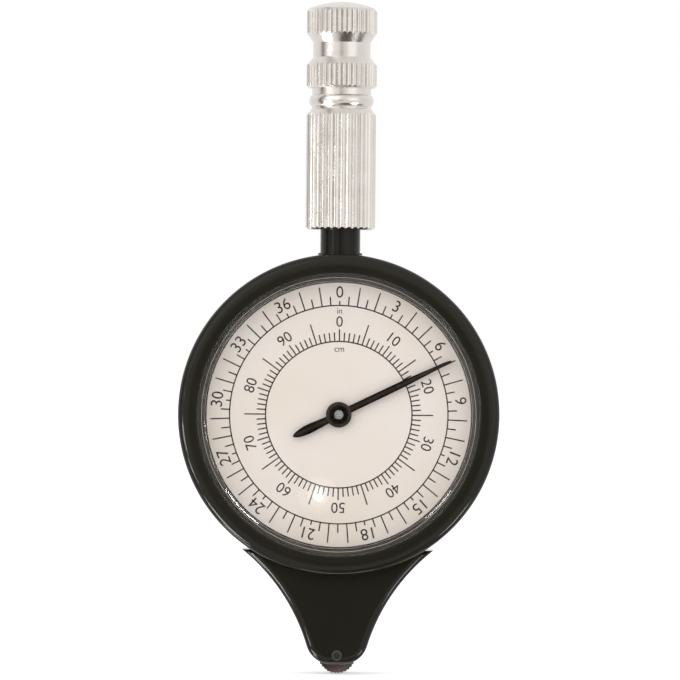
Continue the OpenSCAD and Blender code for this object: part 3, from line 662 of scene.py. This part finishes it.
def make_crystal():
    """Flat window with a bevel and a wall that stands on the dial, both edges eased."""
    round_r = 0.3
    lean = math.degrees(math.atan2(CRYSTAL_BEVEL_H, CRYSTAL_BEVEL_W))
    outer = [(0, CRYSTAL_FRONT)]
    turn = round_r * math.tan(math.radians(lean / 2))
    face_edge = CRYSTAL_R - CRYSTAL_BEVEL_W
    outer += arc((face_edge - turn, CRYSTAL_FRONT + round_r), round_r, -90, lean - 90, 8)
    turn = round_r * math.tan(math.radians(45 - lean / 2))
    wall_edge = CRYSTAL_FRONT + CRYSTAL_BEVEL_H
    outer += arc((CRYSTAL_R - round_r, wall_edge + turn), round_r, lean - 90, 0, 10)
    inner_r = CRYSTAL_R - CRYSTAL_WALL
    outer += [(CRYSTAL_R, DIAL_FRONT), (inner_r, DIAL_FRONT)]
    outer += arc((inner_r - round_r, CRYSTAL_UNDER + round_r), round_r, 0, -90, 8)
    outer += [(0, CRYSTAL_UNDER)]
    return smooth(turned("crystal_clear", outer, DIAL_AT, segments=384))


place_piece(make_crystal(), "case", "crystal_clear", crystal_clear, "crystal")


def make_dial():
    edge = 0.04
    profile = [
        (DIAL_HOLE_R, DIAL_FRONT + edge), (DIAL_HOLE_R + edge, DIAL_FRONT),
        (DIAL_R - edge, DIAL_FRONT), (DIAL_R, DIAL_FRONT + edge), (DIAL_R, LEDGE_FRONT),
        (DIAL_HOLE_R, LEDGE_FRONT),
    ]
    return smooth(turned("dial_plate", profile, DIAL_AT))


place_piece(make_dial(), "case", "dial_white", dial_white, "dial")

PRINT_T = 0.012
LINE_W = 0.2


class Print:
    """Flat printed marks on the dial, gathered into one mesh."""

    def __init__(self):
        self.points, self.faces = [], []

    def add(self, points, faces):
        """Flat marks given as (x, z) from the dial's centre."""
        start = len(self.points)
        self.points += [(x, DIAL_FRONT - PRINT_T, DIAL_Z + z) for x, z in points]
        self.faces += [[start + i for i in face] for face in faces]

    def circle(self, radius, width, segments=360):
        turns = [2 * math.pi * k / segments for k in range(segments)]
        rims = [radius - width / 2, radius + width / 2]
        points = [(r * math.cos(a), r * math.sin(a)) for r in rims for a in turns]
        faces = []
        for k in range(segments):
            n = (k + 1) % segments
            faces.append([k, n, segments + n, segments + k])
        self.add(points, faces)

    def tick(self, turn, start, end, width):
        """A radial line at an angle clockwise from the top."""
        a = math.radians(turn)
        out, side = (math.sin(a), math.cos(a)), (math.cos(a), -math.sin(a))
        points = [
            (out[0] * r + side[0] * s * width / 2, out[1] * r + side[1] * s * width / 2)
            for r, s in ((start, -1), (start, 1), (end, 1), (end, -1))
        ]
        self.add(points, [[0, 1, 2, 3]])

    def words(self, text, turn, middle_r, height):
        """Letters that stand outwards at an angle clockwise from the top."""
        curve = bpy.data.curves.new("words", "FONT")
        curve.body, curve.align_x, curve.align_y = text, "CENTER", "CENTER"
        curve.size, curve.offset, curve.resolution_u = height / 0.73, 0.0, 6
        holder = bpy.data.objects.new("words", curve)
        bpy.context.scene.collection.objects.link(holder)
        shape = holder.evaluated_get(bpy.context.evaluated_depsgraph_get())
        flat = bpy.data.meshes.new_from_object(shape)
        low = min(v.co.y for v in flat.vertices)
        high = max(v.co.y for v in flat.vertices)
        left = min(v.co.x for v in flat.vertices)
        right = max(v.co.x for v in flat.vertices)
        a = math.radians(turn)
        points = []
        for v in flat.vertices:
            x = (v.co.x - (left + right) / 2) * 0.98
            z = v.co.y - (low + high) / 2 + middle_r
            points.append((x * math.cos(a) + z * math.sin(a), z * math.cos(a) - x * math.sin(a)))
        self.add(points, [list(p.vertices) for p in flat.polygons])
        bpy.data.objects.remove(holder)

    def made(self, name):
        """One mesh of all the marks, facing the front."""
        piece = mesh_piece(name, self.points, self.faces)
        for face in piece.data.polygons:
            if face.normal.y > 0:
                face.flip()
        return piece


# steps round the dial, steps from number to number and from long tick to long tick, steps in a
# unit, then the radii of the line and of the ticks' ends, and the numbers' radius and height
OUTER_SCALE = {
    "steps": 78, "numbered": 6, "long": 2, "unit": 2,
    "line": 17.0, "number_end": 17.7, "long_end": 20.0, "short_end": 18.4,
    "text_r": 19.1, "text_h": 1.88,
}
INNER_SCALE = {
    "steps": 100, "numbered": 10, "long": 5, "unit": 1,
    "line": 11.4, "number_end": 13.3, "long_end": 14.7, "short_end": 12.8,
    "text_r": 14.5, "text_h": 1.72,
}
marks = Print()
for scale in (OUTER_SCALE, INNER_SCALE):
    marks.circle(scale["line"], LINE_W)
for scale in (OUTER_SCALE, INNER_SCALE):
    for step in range(scale["steps"]):
        turn = step * 360 / scale["steps"]
        if step % scale["numbered"] == 0:
            marks.tick(turn, scale["line"], scale["number_end"], LINE_W)
            marks.words(str(step // scale["unit"]), turn, scale["text_r"], scale["text_h"])
        else:
            end = "short_end" if step % scale["long"] else "long_end"
            marks.tick(turn, scale["line"], scale[end], LINE_W)
marks.words("in", 0, 16.15, 0.95)
marks.words("cm", 0, 10.1, 1.0)
place_piece(marks.made("dial_print"), "case", "dial_white", dial_ink)


# ---------------------------------------------------------------- the pointer


def make_pointer():
    """Blade with a faint ridge and a leaf-shaped tail, made upright, and its stepped hub."""
    widths = [  # distance from the hub, half the width
        (-TAIL_REACH, 0.0), (-7.8, 0.16), (-7.6, 0.30), (-7.3, 0.43), (-6.9, 0.54), (-6.4, 0.64),
        (-5.6, 0.73), (-4.6, 0.72), (-3.4, 0.65), (-2.0, 0.56), (0.0, 0.55), (2.0, 0.55),
        (11.0, 0.525), (18.5, 0.25), (19.1, 0.18), (19.35, 0.10), (POINTER_REACH, 0.0),
    ]
    rings = []
    for along, half in widths:
        half = max(half, 0.012)
        ridge, edge = half * 0.12, BLADE_FRONT + min(BLADE_RISE, half * 0.08)
        rings.append([
            (-half, BLADE_BACK, along), (-half, edge, along), (-ridge, BLADE_FRONT, along),
            (ridge, BLADE_FRONT, along), (half, edge, along), (half, BLADE_BACK, along),
        ])
    blade = stacked("pointer_black", rings)
    flange_top = BLADE_FRONT - 0.02
    hub = [(BORE_R, BOSS_FRONT + 0.05), (BORE_R + 0.05, BOSS_FRONT)]
    hub += arc((HUB_R - HUB_EDGE, BOSS_FRONT + HUB_EDGE), HUB_EDGE, -90, 0, 6)
    hub += [(HUB_R, flange_top)]
    hub += arc((FLANGE_R - FLANGE_EDGE, flange_top + FLANGE_EDGE), FLANGE_EDGE, -90, 0, 5)
    hub += [(FLANGE_R, BLADE_BACK), (HUB_R, BLADE_BACK), (HUB_R, BOSS_BACK), (BORE_R, BOSS_BACK)]
    blade = joined(blade, turned("hub", hub, (0, 0), segments=128))
    blade = cut(blade, rod("bore", (0, 0), BORE_R, -6, 0))
    turn = Matrix.Rotation(math.radians(POINTER_TURN), 4, "Y")
    blade.data.transform(Matrix.Translation((0, 0, DIAL_Z * MM)) @ turn)
    return smooth(blade)


place_piece(make_pointer(), "pointer", "pointer_black", pointer_black, "pointer")


# ---------------------------------------------------------------- the handle


def fluted(name, radius, ribs, low, full_z, shoulder_z, high, columns=16):
    """A fluted length that widens from point low to its full radius, and narrows to point high."""

    def level(end, start_z, at_radius):
        share = (at_radius - end[0]) / (radius - end[0])
        return end[1] + (start_z - end[1]) * share

    rings = [[], [], [], []]
    for k in range(ribs * columns):
        share = (k % columns) / columns
        across = radius - GROOVE * (1 - math.sin(math.pi * share))
        a = 2 * math.pi * k / (ribs * columns)
        c, s = math.cos(a), math.sin(a)
        low_r, high_r = min(low[0], across), min(high[0], across)
        spots = [
            (low_r, low[1]), (across, level(low, full_z, across)),
            (across, level(high, shoulder_z, across)), (high_r, high[1]),
        ]
        for ring, (r, z) in zip(rings, spots):
            ring.append((r * c, r * s, z))
    return stacked(name, rings)


def make_handle():
    """Fluted barrel, waist with a bead, fluted ring, neck, and fluted knob with a low dome."""
    handle = fluted(
        "handle_bright", BARREL_R, BARREL_RIBS, (BARREL_R - END_BEVEL, HANDLE_Z),
        HANDLE_Z + END_BEVEL, BARREL_TOP, (WAIST_R, WAIST_Z),
    )
    swell = BEAD_R - WAIST_R
    round_r = (BEAD_H ** 2 / 4 + swell ** 2) / (2 * swell)
    spread = math.degrees(math.asin(BEAD_H / 2 / round_r))
    waist = [(0, WAIST_Z - 0.5), (WAIST_R - 0.2, WAIST_Z - 0.5), (WAIST_R, WAIST_Z)]
    waist += arc((BEAD_R - round_r, BEAD_Z), round_r, -spread, spread, 14)
    waist += [(WAIST_R, RING_Z + END_BEVEL), (0, RING_Z + END_BEVEL)]
    ring = fluted(
        "ring", KNOB_R, KNOB_RIBS, (KNOB_R - END_BEVEL, RING_Z), RING_Z + END_BEVEL, RING_TOP,
        (NECK_R, NECK_Z), 12,
    )
    neck = [(0, RING_TOP), (NECK_R, RING_TOP), (NECK_R, KNOB_Z), (0, KNOB_Z)]
    rim_r, rise = KNOB_R - END_BEVEL, HANDLE_TOP - DOME_Z
    knob = fluted(
        "knob", KNOB_R, KNOB_RIBS, (NECK_R, NECK_TOP), KNOB_Z, KNOB_TOP, (rim_r, DOME_Z), 12
    )
    dome_r = (rim_r ** 2 + rise ** 2) / (2 * rise)
    dome_half = math.degrees(math.asin(rim_r / dome_r))
    dome = [(0, KNOB_TOP), (rim_r, KNOB_TOP)]
    dome += arc((0, HANDLE_TOP - dome_r), dome_r, 90 - dome_half, 90, 16)[:-1] + [(0, HANDLE_TOP)]
    handle = joined(
        handle,
        turned("waist", waist, (0, 0), True, 192),
        ring,
        turned("neck", neck, (0, 0), True, 192),
        knob,
        turned("dome", dome, (0, 0), True, 192),
    )
    bore = [(0, HANDLE_Z - 1), (SPIGOT_R, HANDLE_Z - 1), (SPIGOT_R, SPIGOT_TOP), (0, SPIGOT_TOP)]
    return smooth(cut(handle, turned("bore", bore, (0, 0), True, 96)))


place_piece(make_handle(), "case", "handle_metal", handle_metal, "handle")


# ---------------------------------------------------------------- finishes of the other pieces

finishes = {
    "front_plate": brass, "rear_plate": brass, "plate_pillars": brass, "idler_gear": brass,
    "first_gear": brass, "second_gear": brass, "centre_gear": brass, "centre_bush": brass,
    "plate_screws": screw_steel, "movement_screws": screw_steel, "case_screws": screw_steel,
    "wheel_bushes": bush_steel, "handle_stem": stem_black, "tracing_wheel": wheel_steel,
    "wheel_pinion": pivot_steel, "idler_arbor": steel, "first_pinion": steel,
    "second_pinion": steel, "centre_arbor": steel,
}
for node, material in finishes.items():
    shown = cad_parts[node]
    shown.data.materials.clear()
    shown.data.materials.append(material)


# ---------------------------------------------------------------- floor, light and camera


def make_floor():
    """A white floor that keeps the object's shadow."""
    half = 6000.0
    points = [(-half, -half, 0), (half, -half, 0), (half, half, 0), (-half, half, 0)]
    floor = mesh_piece("studio_floor", points, [[0, 1, 2, 3]])
    f = new_finish("floor_white")
    lit = f.node("ShaderNodeBsdfDiffuse", None, {"Color": (0.86, 0.86, 0.86, 1)})
    seen = f.path("Is Camera Ray").most(f.path("Is Transmission Ray"))
    glow = f.node("ShaderNodeEmission", None, {"Color": (1, 1, 1, 1), "Strength": seen * 0.42})
    solid = f.node("ShaderNodeAddShader", None, {0: lit, 1: glow})
    open_way = f.node("ShaderNodeBsdfTransparent")
    mirrored = f.path("Is Glossy Ray")
    floor.data.materials.append(
        f.finish(f.node("ShaderNodeMixShader", None, {0: mirrored, 1: solid, 2: open_way}))
    )


PLAIN_LEVEL = 0.98


def make_world():
    """White to the camera. Mirrored, it is white behind and a pale room in front."""
    f = Finish(bpy.data.worlds.new("studio_world"))
    bpy.context.scene.world = f.owner
    ray = f.node("ShaderNodeTexCoord", output="Generated")
    x, y, z = f.apart(ray)

    def dark_thing(way, wide, narrow):
        """Goes from 1 far from a direction to 0 near it, between two angles."""
        near = f.node(
            "ShaderNodeVectorMath",
            {"operation": "DOT_PRODUCT"},
            {0: ray, 1: Vector(way).normalized()},
            output="Value",
        )
        return near.ramp(math.cos(math.radians(wide)), math.cos(math.radians(narrow)), 1.0, 0.0)

    gaps = f.noise(f.stretched(ray, (2.4, 2.4, 0.7)), 1.7, 1, 0.4).ramp(0.36, 0.62, 0.9, 1.0)
    # dark round the camera, so that flat gloss stays black
    camera_side = dark_thing((0, -1, -0.035), 8, 4) * 0.96 + 0.04
    # a dark upright strip on the left, for the handle
    across = (x * x + y * y) ** 0.5
    off_strip = f.size_of(y / across + 0.14)
    strip = off_strip.ramp(0.10, 0.20, 1.0, 0.0) * (0.0 - x).ramp(0.0, 0.1)
    # two dark things low down, for the cones of the handle
    below = dark_thing((0.2, -0.5, -0.84), 24, 14) * dark_thing((0.666, 0.046, -0.745), 14, 8)
    room = gaps * camera_side * (1.0 - strip * 0.8) * 0.95
    back = y.ramp(-0.1, 0.5)
    mirrored = (room + back * (1.0 - room)) * (below * 0.93 + 0.07)
    seen = f.path("Is Camera Ray")
    glossy = f.path("Is Glossy Ray").most(f.path("Is Transmission Ray")) * (1.0 - seen)
    level = seen + glossy * mirrored + (1.0 - seen) * (1.0 - glossy) * PLAIN_LEVEL
    warm = mirrored.ramp(0.1, 0.8).most(1.0 - glossy)
    tone = f.tint(warm, (1.0, 0.78, 0.68), (1.0, 1.0, 1.0))
    shader = f.node("ShaderNodeBackground", None, {"Color": tone, "Strength": level})
    f.node("ShaderNodeOutputWorld", None, {"Surface": shader})


def lamp(name, place, aim, width, height, power, shape="RECTANGLE"):
    """A soft lamp. Places are millimetres."""
    light = bpy.data.lights.new(name, "AREA")
    light.shape, light.size, light.size_y = shape, width * MM, height * MM
    light.energy = power
    holder = bpy.data.objects.new(name, light)
    bpy.context.scene.collection.objects.link(holder)
    holder.location = Vector(place) * MM
    way = Vector(aim) - Vector(place)
    holder.rotation_mode = "QUATERNION"
    holder.rotation_quaternion = way.to_track_quat("-Z", "Y")
    holder.visible_camera = False


IMAGE_W = 680
SCALE = 0.15625  # millimetres a pixel
VIEW_X = 0.08
VIEW_Z = 52.08
CAMERA_DISTANCE = 1000.0
CAMERA_TURN = 0.2
ROLL = -0.485
SENSOR = 36.0


def make_camera():
    camera = bpy.data.objects.new("camera", bpy.data.cameras.new("camera"))
    bpy.context.scene.collection.objects.link(camera)
    bpy.context.scene.camera = camera
    camera.data.sensor_width = SENSOR
    camera.data.lens = SENSOR * CAMERA_DISTANCE / (IMAGE_W * SCALE)
    turn = math.radians(CAMERA_TURN)
    camera.location = Vector((
        VIEW_X + CAMERA_DISTANCE * math.sin(turn), -CAMERA_DISTANCE * math.cos(turn), VIEW_Z
    )) * MM
    camera.rotation_euler = (math.radians(90), math.radians(ROLL), turn)
    camera.data.clip_start, camera.data.clip_end = 0.02, 50


make_floor()
make_world()
MIDDLE, CASE, NOSE = (0, 0, 55), (0, 0, 40), (0, 0, 30)
lamp("soft_left", (-800, -1100, 900), MIDDLE, 1400, 1400, 5)
lamp("soft_right", (1000, -1100, 500), MIDDLE, 1000, 1200, 1.6)
# the next ones stand where the handle doesn't mirror them from the usual sides
lamp("low_left", (-612, -376, -548), NOSE, 300, 280, 6.0)
lamp("left", (-709, -595, -70), CASE, 320, 130, 2.4)
lamp("mid_left", (-706, -560, -240), CASE, 300, 80, 1.3)
lamp("low_right", (636, -382, -530), NOSE, 240, 220, 2.2)
lamp("stem_side", (-205, -220, 64), (0, 0, 64), 60, 10, 0.008)
lamp("under_left", (-584, 33, -672), NOSE, 200, 200, 1.4)
lamp("under", (0, 40, -850), NOSE, 420, 160, 0.8)
# one soft light mirrored in the flat of the crystal
for width, power in ((2.8, 1.0e-4), (5.2, 1.2e-4), (9.0, 1.2e-4)):
    lamp("crystal_glint", (-6.4, -500, 15.8), (-3.3, 0, 28.3), width, width, power, "ELLIPSE")
make_camera()
bpy.context.scene.view_settings.view_transform = "Standard"
